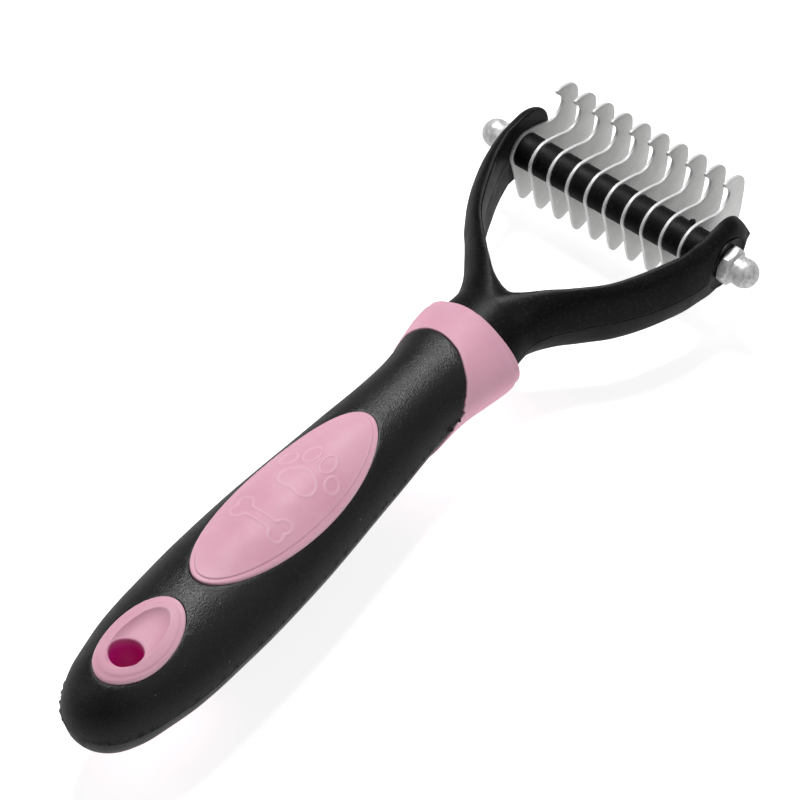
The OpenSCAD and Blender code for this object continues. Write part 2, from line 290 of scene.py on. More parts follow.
def shell(flat, faces, outer, inner, is_cut):
    """Closed solid between two maps of one flat triangulation. Edges along a cut stay open, to be merged."""
    count = len(flat)
    walls = [(b, a, a + count, b + count) for a, b in rim_edges(faces) if not is_cut(flat[a], flat[b])]
    points = np.concatenate([outer(flat), inner(flat)])
    return points, faces.tolist() + (faces[:, ::-1] + count).tolist() + walls


def distance_to(points, rim):
    """Distance from each point to a line of closely spaced points."""
    tree = search_tree(rim)
    nearest = np.array([tree.find(p)[1] for p in points])
    found = np.full(len(points), 1e9)
    for step in (-1, 1):
        a, b = rim[nearest], rim[np.clip(nearest + step, 0, len(rim) - 1)]
        run = b - a
        share = np.clip(((points - a) * run).sum(1) / np.maximum((run**2).sum(1), 1e-12), 0, 1)
        found = np.minimum(found, np.linalg.norm(points - a - run * share[:, None], axis=1))
    return found


# ---------------------------------------------------------------- the handle's shape
handle_wide = profile([
    (-177.2, 10.3), (-169, 10.5), (-165, 11.2), (-161.6, 12), (-155.4, 13.3), (-150, 13.9), (-144, 14.2),
    (-132, 14.5), (-117, 14.1), (-107, 13.4), (-98, 12.6), (-87, 11.7), (-78, 10.9), (-70, 10.6),
    (-65, 11), (-61, 11.8), (-55.5, 12.8), (-51.5, 13), (-49, 13)])
handle_high = profile([
    (-177.2, 10.3), (-165, 10.8), (-155, 11.2), (-135, 11.2), (-110, 10.8), (-90, 10.1), (-78, 9.5),
    (-68, 9.3), (-60, 9.4), (-54, 9.6), (-49, 9.6)])
ROUND_Y = BUTT_Y + BUTT_ROUND             # the butt is rounded behind here
FRONT_Y = COLLAR_Y - COLLAR_ROUND         # the collar's front edge is rounded ahead of here
POLE_V = ROUND_Y - BUTT_ROUND * math.pi / 2
FLAT_R = 12.0                             # flat coordinates are (v, FLAT_R * angle)


def handle_size(y):
    """Half width and half height of the handle at y."""
    behind = np.clip((ROUND_Y - y) / BUTT_ROUND, 0, 1)
    butt = np.sqrt(1 - behind**2)

    def drop(radius):
        past = np.clip(y - (COLLAR_Y - radius), 0, radius)
        return radius - np.sqrt(radius**2 - past**2)
    return ((handle_wide(y) - drop(COLLAR_ROUND)) * butt,
            (handle_high(y) - drop(COLLAR_ROUND_TOP)) * butt)


def y_of(v):
    """Place along the handle for a coordinate that runs on over the butt and the collar's edge."""
    behind = np.clip((ROUND_Y - v) / BUTT_ROUND, 0, math.pi / 2)
    ahead = np.clip((v - FRONT_Y) / COLLAR_ROUND, 0, math.pi / 2)
    return np.where(v < ROUND_Y, ROUND_Y - BUTT_ROUND * np.sin(behind),
                    np.where(v > FRONT_Y, FRONT_Y + COLLAR_ROUND * np.sin(ahead), v))


def handle_point(v, angle, grow=0.0, crease=0.0, notch=0.0):
    """Point on the handle. crease is the draft each half has from the parting plane, and notch a cut into
    the flanks."""
    y = y_of(v)
    wide, high = handle_size(y)
    wide = np.maximum(wide + grow * (wide > 0.4), 0)
    high = np.maximum(high + grow * (high > 0.4), 0)
    z = high * np.sin(angle)
    rise = np.abs(np.sin(angle))
    inward = crease * high * rise * (1 - rise) + notch
    x = np.cos(angle) * wide
    return columns(x - np.sign(x) * np.minimum(inward, np.abs(x)), y, z)


def top_height(x, y, grow=0.0):
    wide, high = handle_size(y)
    share = np.clip(x / (wide + grow), -1, 1)
    return (high + grow) * np.sqrt(1 - share**2)


# The grip's front edge on the handle's top, seen from above; its tip lies left of the middle
TONGUE_EDGE = [(-10.9, -64), (-10.7, -61.6), (-9.6, -60.3), (-6.4, -59.1), (-3.8, -58.9), (-1.3, -59.1),
               (1.6, -59.8), (4.2, -60.8), (8, -63.4), (9.2, -64.7), (10.1, -66.3), (10.5, -67.8),
               (10.75, -70)]
UNDER_Y = -77.5                           # the same edge across the underside
FLANK_W = 10.65                           # half width there, where the edge turns forward
RIM_STEP = 0.25                           # spacing of points along a rim


def spaced(va, step=RIM_STEP):
    """A line of (v, angle) points respaced evenly."""
    flat = flat_of(va)
    run = np.concatenate([[0], np.cumsum(np.linalg.norm(np.diff(flat, axis=0), axis=1))])
    at = np.linspace(0, run[-1], max(2, int(run[-1] / step)))
    return columns(np.interp(at, run, va[:, 0]), np.interp(at, run, va[:, 1]))


def grip_front():
    """The grip's front edge right round the handle as (v, angle): over the top, then underneath."""
    plan = curve(TONGUE_EDGE, 12)[::-1]
    angle = np.arccos(np.clip(plan[:, 0] / handle_size(plan[:, 1])[0], -1, 1))
    over = columns(plan[:, 1], angle)[angle > 0.04]
    left, right = TONGUE_EDGE[0][1], TONGUE_EDGE[-1][1]
    bulge = hump(over[:, 1] - 0.13, 0.05)
    ripple = 0.14 * np.sin(31 * over[:, 1]) * (over[:, 1] < 0.45)
    over[:, 0] += bulge + ripple
    over = np.concatenate([[[right, 0]], over, [[left, np.pi]]])
    x = FLANK_W * np.cos(np.linspace(np.pi, 2 * np.pi, 200))
    y = UNDER_Y + (right - UNDER_Y) * (np.abs(x) / FLANK_W)**16
    angle = 2 * np.pi - np.arccos(np.clip(x / handle_size(y)[0], -1, 1))
    angle[0], angle[-1] = np.pi, 2 * np.pi
    return spaced(np.concatenate([over, columns(y, angle)]))


def on_handle(outline, side=1):
    """A plan outline as (v, angle) on the handle's top (side 1) or its underside (side -1)."""
    wide = handle_size(outline[:, 1])[0]
    angle = np.arccos(np.clip(outline[:, 0] / wide, -1, 1))
    v = np.where(outline[:, 1] < ROUND_Y,
                 ROUND_Y - BUTT_ROUND * np.arcsin(np.clip((ROUND_Y - outline[:, 1]) / BUTT_ROUND, 0, 1)),
                 outline[:, 1])
    return columns(v, angle if side > 0 else 2 * np.pi - angle)


def flat_of(va):
    """(v, angle) points as flat coordinates."""
    return va * [1, FLAT_R]


def ragged(v):
    """Small uneven wander of a parting line, in millimetres."""
    return 0.05 * np.sin(1.3 * v) + 0.035 * np.sin(3.1 * v + 1.1) + 0.02 * np.sin(7.7 * v + 0.4)


def handle_grid(low, high, step):
    """Staggered flat points all over the handle."""
    rows = []
    for k, v in enumerate(np.arange(low + step * 0.7, high, step)):
        wide, tall = handle_size(y_of(np.array([v])))
        count = max(8, int(np.pi * (wide[0] + tall[0]) / step))
        angles = (np.arange(count) + 0.5 * (k % 2)) / count * 2 * np.pi
        rows.append(columns(v, angles * FLAT_R))
    return np.concatenate(rows)


def moved_in(outline, amount):
    """A closed flat outline moved towards its inside (amount above 0) along its normals."""
    ahead, behind = np.roll(outline, -1, 0), np.roll(outline, 1, 0)
    along = ahead - behind
    along /= np.linalg.norm(along, axis=1)[:, None]
    area = 0.5 * np.sum(outline[:, 0] * ahead[:, 1] - ahead[:, 0] * outline[:, 1])
    inward = columns(-along[:, 1], along[:, 0]) * np.sign(area)
    return outline + inward * amount


# ---------------------------------------------------------------- materials
def srgb(*values):
    """Colour from 0-255 display values."""
    linear = [((v / 255 + 0.055) / 1.055)**2.4 if v > 10 else v / 255 / 12.92 for v in values]
    return (*linear, 1)


class Shader:
    """A node material, built from short calls. Sizes of noise are in millimetres."""

    def __init__(self, name):
        self.material = bpy.data.materials.new(name)
        self.material.use_nodes = True
        self.tree = self.material.node_tree
        self.tree.nodes.clear()
        self.place = self.node("TexCoord").outputs["Object"]

    def node(self, kind, **settings):
        made = self.tree.nodes.new("ShaderNode" + kind)
        for key, value in settings.items():
            setattr(made, key, value)
        return made

    def feed(self, made, **inputs):
        for key, value in inputs.items():
            socket = made.inputs[int(key[1:]) if key[0] == "_" else key.replace("_", " ")]
            if isinstance(value, bpy.types.NodeSocket):
                self.tree.links.new(value, socket)
            else:
                socket.default_value = value
        return made

    def noise(self, size, detail=3, stretch=(1, 1, 1), distortion=0.0):
        scaled = self.feed(self.node("Mapping"), Vector=self.place, Scale=stretch)
        made = self.feed(self.node("TexNoise"), Vector=scaled.outputs[0], Scale=1 / (size * MM),
                         Detail=detail, Distortion=distortion)
        return made.outputs[0]

    def ramp(self, value, low, high, start=0.0, end=1.0):
        """value taken from low..high to start..end, smoothly."""
        made = self.node("MapRange", interpolation_type="SMOOTHSTEP")
        self.feed(made, Value=value, From_Min=low, From_Max=high, To_Min=start, To_Max=end)
        return made.outputs[0]

    def mix(self, share, one, other):
        made = self.node("Mix", data_type="RGBA")
        self.feed(made, _0=share, _6=one, _7=other)
        return made.outputs[2]

    def math(self, operation, one, other):
        return self.feed(self.node("Math", operation=operation), _0=one, _1=other).outputs[0]

    def attribute(self, name):
        return self.node("Attribute", attribute_name=name).outputs["Fac"]

    def bump(self, height, depth, strength=1.0, normal=None):
        made = self.feed(self.node("Bump"), Height=height, Distance=depth * MM, Strength=strength)
        if normal is not None:
            self.feed(made, Normal=normal)
        return made.outputs[0]

    def finish(self, **inputs):
        surface = self.feed(self.node("BsdfPrincipled"), **inputs)
        self.feed(self.node("OutputMaterial"), Surface=surface.outputs[0])
        return self.material


def moulded(name, dark, light, flecks_and_edge_highlight, roughness, grain, grain_depth, specular=0.5, specks=None):
    """Moulded plastic or rubber: cloudy colour, fine grain with lighter flecks, a painted highlight along rims and
    ridges and, if given, lint.
    """
    s = Shader(name)
    colour = s.mix(s.ramp(s.noise(7, 4), 0.35, 0.65), dark, light)
    colour = s.mix(s.ramp(s.noise(grain * 1.3, 2), 0.52, 0.8, 0, 0.5), colour, flecks_and_edge_highlight)
    # painted highlight: the edge attribute lightens rims and ridges, unevenly
    edge_highlight = s.math("MULTIPLY", s.attribute("edge"), s.ramp(s.noise(1.6, 3), 0.3, 0.7, 0.25, 1.0))
    colour = s.mix(edge_highlight, colour, flecks_and_edge_highlight)
    if specks is not None:
        dots = s.feed(s.node("TexVoronoi"), Vector=s.place, Scale=1 / (4.5 * MM)).outputs["Distance"]
        colour = s.mix(s.ramp(dots, 0.018, 0.045, 1, 0), colour, specks)
    rough = s.math("ADD", s.ramp(s.noise(5, 4), 0.3, 0.7, -0.05, 0.06), roughness)
    wavy = s.bump(s.noise(9, 2), 0.12)
    normal = s.bump(s.noise(grain, 3), grain_depth, 1.0, wavy)
    return s.finish(Base_Color=colour, Roughness=rough, Specular_IOR_Level=specular, Normal=normal)


def pink_material():
    s = Shader("core_plastic")
    colour = s.mix(s.ramp(s.noise(14, 3), 0.35, 0.65), srgb(222, 164, 184), srgb(227, 173, 192))
    colour = s.mix(s.ramp(s.noise(0.7, 3), 0.55, 0.85, 0, 0.25), colour, srgb(216, 154, 176))
    # painted highlight: lighter pink along rims and ridges, from the edge attribute
    colour = s.mix(s.math("MULTIPLY", s.attribute("edge"), 0.6), colour, srgb(238, 194, 210))
    # painted shade: deep magenta inside the hanging hole, stronger with depth, standing in for shade and coloured
    # bounce light
    colour = s.mix(s.attribute("deep"), colour, srgb(225, 44, 170))
    rough = s.math("ADD", s.ramp(s.noise(4, 4), 0.3, 0.7, -0.05, 0.05), 0.52)
    wavy = s.bump(s.noise(11, 2), 0.1)
    normal = s.bump(s.noise(0.5, 3), 0.012, 1.0, wavy)
    return s.finish(Base_Color=colour, Roughness=rough, Normal=normal, Specular_IOR_Level=0.3,
                    Subsurface_Weight=0.12, Subsurface_Radius=(1.0, 0.45, 0.55), Subsurface_Scale=1.2 * MM)


def blade_material():
    """Satin ground sheet steel, with grinding lines along the blade and painted highlights on its edges."""
    s = Shader("blade_steel")
    lines = s.noise(0.35, 3, (1, 0.06, 1))
    cloud = s.noise(3.5, 3)
    base = s.mix(s.ramp(cloud, 0.3, 0.7), srgb(219, 219, 218), srgb(228, 228, 227))
    base = s.mix(s.math("MULTIPLY", s.ramp(lines, 0.45, 0.75), 0.3), base, srgb(200, 200, 200))
    base = s.mix(s.math("MULTIPLY", s.attribute("tone"), 0.3), base, srgb(206, 206, 205))
    # painted highlight: lighter steel along the edges, from the edge attribute
    base = s.mix(s.math("MULTIPLY", s.attribute("edge"), 0.7), base, srgb(240, 240, 240))
    rough = s.math("ADD", s.ramp(s.noise(2, 3), 0.3, 0.7, -0.04, 0.06), 0.5)
    normal = s.bump(lines, 0.006, 1.0, s.bump(s.noise(4, 2), 0.02))
    return s.finish(Base_Color=base, Metallic=0.15, Roughness=rough, Normal=normal)


def zinc_material(name, light, dark, roughness):
    """Bright zinc plate, clouded, with small dents."""
    s = Shader(name)
    cloud = s.noise(1.4, 5, distortion=1.2)
    base = s.mix(s.ramp(cloud, 0.38, 0.62), light, dark)
    rough = s.math("ADD", s.ramp(s.noise(0.8, 4), 0.3, 0.7, -0.06, 0.14), roughness)
    normal = s.bump(s.noise(0.45, 3), 0.02, 1.0, s.bump(s.noise(1.5, 3, distortion=0.8), 0.05))
    return s.finish(Base_Color=base, Metallic=0.5, Roughness=rough, Normal=normal)


def floor_material():
    """Plain pale floor that is only there when seen from above."""
    s = Shader("floor")
    mottled = s.mix(s.ramp(s.noise(60, 3), 0.3, 0.7), (0.86, 0.86, 0.86, 1), (0.9, 0.9, 0.9, 1))
    surface = s.feed(s.node("BsdfPrincipled"), Base_Color=mottled, Roughness=0.9, Specular_IOR_Level=0.1,
                     Emission_Color=(1, 1, 1, 1), Emission_Strength=0.78)
    dimmed = s.feed(s.node("Emission"), Color=(0.5, 0.5, 0.5, 1))
    seen = s.node("MixShader")
    s.feed(seen, _0=s.node("LightPath").outputs["Is Glossy Ray"], _1=surface.outputs[0], _2=dimmed.outputs[0])
    through = s.node("MixShader")
    s.feed(through, _0=s.node("NewGeometry").outputs["Backfacing"], _1=seen.outputs[0],
           _2=s.node("BsdfTransparent").outputs[0])
    s.feed(s.node("OutputMaterial"), Surface=through.outputs[0])
    return s.material


MATERIALS = {
    "core_plastic": pink_material(),
    "grip_rubber": moulded("grip_rubber", srgb(9, 9, 10), srgb(13, 13, 14), srgb(46, 46, 47), 0.36,
                           0.33, 0.13, 0.44, srgb(110, 110, 110)),
    "fork_plastic": moulded("fork_plastic", srgb(9, 9, 10), srgb(13, 13, 14), srgb(52, 52, 53), 0.42,
                            0.45, 0.04, 0.17),
    "spacer_plastic": moulded("spacer_plastic", srgb(7, 7, 8), srgb(11, 11, 12), srgb(46, 46, 46), 0.55,
                              0.5, 0.06, 0.15),
    "blade_steel": blade_material(),
    "nut_zinc": zinc_material("nut_zinc", srgb(236, 236, 235), srgb(208, 208, 208), 0.4),
    "rod_steel": zinc_material("rod_steel", srgb(200, 200, 200), srgb(160, 160, 160), 0.3),
}


# ---------------------------------------------------------------- grip and collar
GRIP_LIP = 0.36                           # round on the grip's edges
LIP_LINES = (0.05, 0.15, GRIP_LIP)        # distances inside a rim where a rounded edge needs points
PARTING_LINES = (0.0, 0.15, 0.3, 0.46)    # heights off the parting line that its groove needs


def parting_rows(low, high, at_angle, step=0.45):
    """Lines of points along the parting line on one flank, as flat coordinates."""
    v = np.arange(low, high, step)
    rows = []
    for off in sorted({s * h for h in PARTING_LINES for s in (-1, 1)}):
        radius = np.maximum(handle_size(y_of(v))[1], 2.0)
        rows.append(columns(v, (at_angle + (off + ragged(v)) / radius) * FLAT_R))
    return rows


DRAFT = 0.09                              # how far each moulded half leans in from the parting line


def flank_height(v, angle):
    """Height off the wandering parting line, and its sign, for points on the handle."""
    high = np.maximum(handle_size(y_of(v))[1], 2.0)
    return high * np.sin(angle) - ragged(v) * np.sign(np.cos(angle))


def grip_outer(opening_rims):
    """Map to the grip's skin, with rounded rims and flash along the parting line."""
    def outer(flat):
        v, angle = flat[:, 0], flat[:, 1] / FLAT_R
        plain = handle_point(v, angle)
        gap = np.min([distance_to(plain, rim) for rim in opening_rims], axis=0)
        height = flank_height(v, angle)
        groove = 0.42 * (1 - smooth(0, 0.3, np.abs(height)))
        step = 0.16 * smooth(-0.12, -0.24, height) * smooth(0.9, 0.5, np.abs(np.sin(angle)))
        uneven = smooth(0.2, 0.75, np.sin(0.9 * v)**2 * np.sin(2.3 * v + 1)**2)
        at_butt = smooth(-160, -168, v) * smooth(-0.3, 0.6, np.sin(2.6 * v) + np.sin(5.3 * v + 2))
        uneven = np.maximum(uneven, at_butt)
        near_tip = np.maximum(hump(v + 69.3, 0.6), hump(v + 72.3, 0.7)) * (np.cos(angle) > 0)
        amount = 0.2 * uneven + 0.2 * smooth(-160, -170, v) * uneven + 0.6 * near_tip
        flash = amount * smooth(0.42, 0.16, np.abs(height - 0.26))
        return handle_point(v, angle, -lip(gap, GRIP_LIP), DRAFT, groove + step - flash)
    return outer


def handle_inner(flat):
    """Map to the grip's inner side, well inside its skin."""
    v, angle = flat[:, 0], flat[:, 1] / FLAT_R
    inner = handle_point(v, angle) * [0.78, 1, 0.78]
    inner[:, 1] = np.where(inner[:, 1] < ROUND_Y, ROUND_Y + (inner[:, 1] - ROUND_Y) * 0.85, inner[:, 1])
    return inner


def build_grip():
    front = grip_front()
    start_v = front[0, 0]
    cut = np.linspace(POLE_V, start_v, 180)[:-1]
    outline = flat_of(np.concatenate([
        columns(cut, np.zeros(len(cut))), front,
        columns(cut[::-1], 2 * np.pi)]))
    on_front = slice(len(cut) + 2, len(cut) + len(front) - 2)
    openings = [on_handle(ellipse(PANEL_W, PANEL_L, 400, PANEL_Y)),
                on_handle(ellipse(EYE_W, EYE_L, 200, EYE_Y)),
                on_handle(ellipse(EYE_W, EYE_L, 200, EYE_Y), -1)]
    holes = [flat_of(o) for o in openings]
    lines = []
    for d in LIP_LINES:
        for hole in holes:
            ring = moved_in(hole, -d)
            lines.append(np.concatenate([ring, ring[:1]]))
        lines.append(moved_in(outline, d)[on_front])
    side = 2 * np.pi * FLAT_R
    for at_angle, end in ((np.pi, TONGUE_EDGE[0][1] - 1), (0.0, start_v - 1), (2 * np.pi, start_v - 1)):
        for row in parting_rows(POLE_V + 3, end, at_angle):
            if -1e-3 < row[:, 1].max() and row[:, 1].min() < side + 1e-3:
                row[:, 1] = np.clip(row[:, 1], 0.03, side - 0.03)
                lines.append(row)
    flat, faces = triangulate(outline, holes, lines, handle_grid(POLE_V, TONGUE_EDGE[4][1], HANDLE_STEP), 0.3)
    rims = [handle_point(o[:, 0], o[:, 1]) for o in openings + [front]]

    def is_cut(a, b):
        return max(a[1], b[1]) < 1e-4 or min(a[1], b[1]) > side - 1e-4 or max(a[0], b[0]) < POLE_V + 1e-4
    points, sides = shell(flat, faces, grip_outer(rims), handle_inner, is_cut)
    gap = np.min([distance_to(points[:len(flat)], rim) for rim in rims], axis=0)
    # painted highlight: a light band just inside the grip's rounded rims
    edge = np.concatenate([hump(gap - GRIP_LIP, 0.15) * 0.4, np.zeros(len(flat))])
    make_piece("grip", points, sides, "handle", "grip_rubber", ["grip_sleeve"], 40, edge)


SOCKET_W, SOCKET_H = 10.25, 8.7           # the collar's opening round the fork's shank
COLLAR_LIP = 0.2                          # round on the collar's edge along the grip
COLLAR_GROW = 0.12                        # the collar stands this much proud of the grip
FACE_V = FRONT_Y + COLLAR_ROUND * math.pi / 2     # where the collar's front face starts
FACE_RUN = 2.6                            # flat length given to the front face
SOCKET_RUN = 3.5                          # depth of the visible socket


def collar_slant(v, angle):
    """How far the collar's front is set back: it lies further back on the right flank."""
    return (0.4 - 1.45 * smooth(-0.3, 0.9, np.cos(angle))) * smooth(-57, -51.5, v)


def collar_outer(rims):
    """Map to the collar's skin, its front face and the first of its socket."""
    def outer(flat):
        v, angle = flat[:, 0], flat[:, 1] / FLAT_R
        plain = handle_point(np.minimum(v, FACE_V), angle)
        gap = np.min([distance_to(plain, rim) for rim in rims], axis=0)
        skin = handle_point(np.minimum(v, FACE_V), angle, COLLAR_GROW - lip(gap, COLLAR_LIP), 0.05)
        wide = np.minimum(SOCKET_W, np.abs(handle_size(np.array([COLLAR_Y]))[0][0] - 0.3))
        socket = columns(wide * np.cos(angle), COLLAR_Y, SOCKET_H * np.sin(angle))
        share = np.clip((v - FACE_V) / FACE_RUN, 0, 1)[:, None]
        found = skin * (1 - share) + socket * share
        deep = np.clip(v - FACE_V - FACE_RUN, 0, SOCKET_RUN)
        found[:, 1] += collar_slant(v, angle)
        found[:, 1] -= deep + lip(np.abs(v - FACE_V - FACE_RUN), 0.25) * (share[:, 0] > 0)
        return found
    return outer


def collar_inner(flat):
    """Map to the collar's hidden inner side."""
    v, angle = flat[:, 0], flat[:, 1] / FLAT_R
    y = y_of(np.minimum(v, FACE_V)) - 1.6 * smooth(FACE_V - 6, FACE_V, v)
    y = np.where(v > FACE_V + FACE_RUN, COLLAR_Y - (v - FACE_V - FACE_RUN), y)
    wide, high = handle_size(np.minimum(y, FRONT_Y - 0.1))
    wall = np.where(v > FACE_V + FACE_RUN, 0.25, 1.2)
    y = y + np.minimum(collar_slant(v, angle), 0)
    return columns((np.maximum(wide - wall, SOCKET_W + 0.05)) * np.cos(angle), y,
                   np.maximum(high - wall * 0.6, SOCKET_H + 0.05) * np.sin(angle))


def build_collar():
    front = grip_front() + [FIT, 0]
    end_v = FACE_V + FACE_RUN + SOCKET_RUN
    cut = np.concatenate([np.arange(front[0, 0], FRONT_Y, 0.6)[1:], np.linspace(FRONT_Y, FACE_V, 9),
                          [FACE_V + FACE_RUN * s for s in (0.1, 0.3, 0.6, 0.85, 0.95, 1.0)],
                          [FACE_V + FACE_RUN + s for s in (0.1, 0.3, 1.2, 2.4)]])
    around = np.linspace(0, 2 * np.pi, 181)
    outline = flat_of(np.concatenate([
        front, columns(cut, 2 * np.pi),
        columns(end_v, around[::-1]),
        columns(cut[::-1], np.zeros(len(cut)))]))
    on_front = slice(2, len(front) - 2)
    lines = [moved_in(outline, d)[on_front] for d in (0.04, 0.1, COLLAR_LIP)]
    for v in cut[cut > FRONT_Y - 0.1]:
        lines.append(columns(v, around[1:-1] * FLAT_R))
    flat, faces = triangulate(outline, [], lines, handle_grid(UNDER_Y, FRONT_Y - 0.4, HANDLE_STEP), 0.3)
    rim = handle_point(front[:, 0], front[:, 1])

    def is_cut(a, b):
        return max(a[1], b[1]) < 1e-4 or min(a[1], b[1]) > 2 * np.pi * FLAT_R - 1e-4
    points, sides = shell(flat, faces, collar_outer([rim]), collar_inner, is_cut)
    # painted highlight along the collar's rounded front rim
    edge = np.concatenate([hump(distance_to(points[:len(flat)], rim), COLLAR_LIP), np.zeros(len(flat))])
    make_piece("collar", points, sides, "handle", "core_plastic", ["handle_core"], 40, edge)


# ---------------------------------------------------------------- thumb panel
LINE_H = 0.12                             # height of the panel's raised lines
LINE_W = 0.22                             # half of their width


def oval(x, y, cx, cy, rx, ry, turn_deg=0.0):
    """Distance outside an ellipse, roughly; below 0 inside."""
    t = math.radians(turn_deg)
    px = (x - cx) * math.cos(t) + (y - cy) * math.sin(t)
    py = -(x - cx) * math.sin(t) + (y - cy) * math.cos(t)
    q = np.sqrt((px / rx)**2 + (py / ry)**2) + 1e-9
    return np.hypot(px, py) * (1 - 1 / q)


def united(shapes, blend=0.8):
    """Smooth union of several distances."""
    return -blend * np.log(sum(np.exp(-s / blend) for s in shapes))


def raised_lines(x, y):
    """Raised line drawing on the panel: a plain paw print above a plain bone."""
    y = y - PANEL_Y
    pad = united([oval(x, y, 0, 5.0, 2.7, 2.4), oval(x, y, -2.3, 3.6, 1.9, 2.0),
                  oval(x, y, 2.3, 3.6, 1.9, 2.0)])
    marks = [pad]
    for side in (-1, 1):
        marks.append(oval(x, y, 5.6 * side, 7.9, 1.35, 2.0, 24 * side))
        marks.append(oval(x, y, 2.1 * side, 11.2, 1.5, 2.35, 6 * side))
    knobs = [oval(x, y, 5.0 * sx, -7.6 + 1.35 * sy, 1.5, 1.5) for sx in (-1, 1) for sy in (-1, 1)]
    bar = np.maximum(np.abs(x) - 5.0, np.abs(y + 7.6) - 1.05)
    marks.append(united(knobs + [bar], 0.35))
    away = np.min(np.abs(marks), axis=0)
    return smooth(LINE_W + 0.12, LINE_W - 0.1, away)


PANEL_BACK = 1.6                          # depth of the panel's hidden back under the grip's surface


def panel_rise(inset):
    """Height of the panel above the grip's surface, at a distance inside its rim."""
    ledge = 0.45 - lip(inset, 0.35)
    step = 0.2 * smooth(0.95, 1.35, inset)
    crown = (PANEL_RISE - 0.45 - 0.2) * smooth(1.35, 9, inset)
    crease = 0.05 * smooth(0.2, 0.0, np.abs(inset - 1.0))
    return ledge + step + crown - crease


def build_panel():
    count = 440
    angle = full_turn(count)
    half_w, half_l = PANEL_W - FIT, PANEL_L - FIT
    insets = np.concatenate([[0, 0.03, 0.08, 0.15, 0.25, 0.35, 0.6, 0.85], np.arange(0.98, 1.7, 0.07),
                             np.arange(1.75, half_w, 0.19), [half_w]])

    def ring(inset, height=None):
        # the innermost ring is a straight ridge, and the rings open out evenly from it
        x = (half_w - inset) * np.cos(angle)
        y = PANEL_Y + (half_l - inset) * np.sin(angle)
        if height is None:
            drawn = raised_lines(x, y) * (inset > 1.7)
            return columns(x, y, top_height(x, y) + panel_rise(inset) + LINE_H * drawn), drawn
        return columns(x, y, top_height(x, y) + height), np.zeros(count)
    made = [ring(d, -PANEL_BACK) for d in (half_w, half_w * 0.5)] + [ring(0, -PANEL_BACK), ring(0, -0.6)]
    made += [ring(d) for d in insets]
    points, faces = strips([m[0] for m in made])
    # painted highlights: lighter pink on the rim, on the step inside it and on the raised lines
    rim = np.concatenate([np.zeros(4 * count)] + [
        np.full(count, max(hump(d, 0.3), 0.5 * hump(d - 1.32, 0.14))) for d in insets])
    edge = np.maximum(rim, 0.75 * np.concatenate([m[1] for m in made]))
    make_piece("thumb_panel", points, faces, "handle", "core_plastic", ["handle_core"], 50, edge)


# ---------------------------------------------------------------- hanging eye
SPOON_W, SPOON_L = 4.05, 8.45             # half size of the hollow's outline
SPOON_Y = -156.85
SPOON_SHARE = 0.3                         # share of the eye's rows that lie outside the hollow
EYE_LIP = 0.4                             # round on the eye's rim
HOLE_ROUND = 0.35                         # round on both edges of the hole


def spoon_width(y):
    """The hollow is a little wider round the hole than at its front."""
    return SPOON_W + 0.3 * smooth(-153, -160, y)


def eye_top(x, y):
    """Height of the eye's top with its ledge and the hollow that leads into the hole."""
    plain = top_height(x, y, EYE_RISE)
    across = np.sqrt((x / (EYE_W - FIT))**2 + ((y - EYE_Y) / (EYE_L - FIT))**2)
    plain = plain - 0.14 * smooth(0.86, 0.9, across)
    reach = np.sqrt((x / spoon_width(y))**2 + ((y - SPOON_Y) / SPOON_L)**2)
    floor = top_height(np.zeros(len(y)), y, EYE_RISE) - 1.35 - 0.3 * smooth(-149, -160, y)
    share = np.clip(1 - reach**5, 0, 1)
    return plain * (1 - share) + floor * share


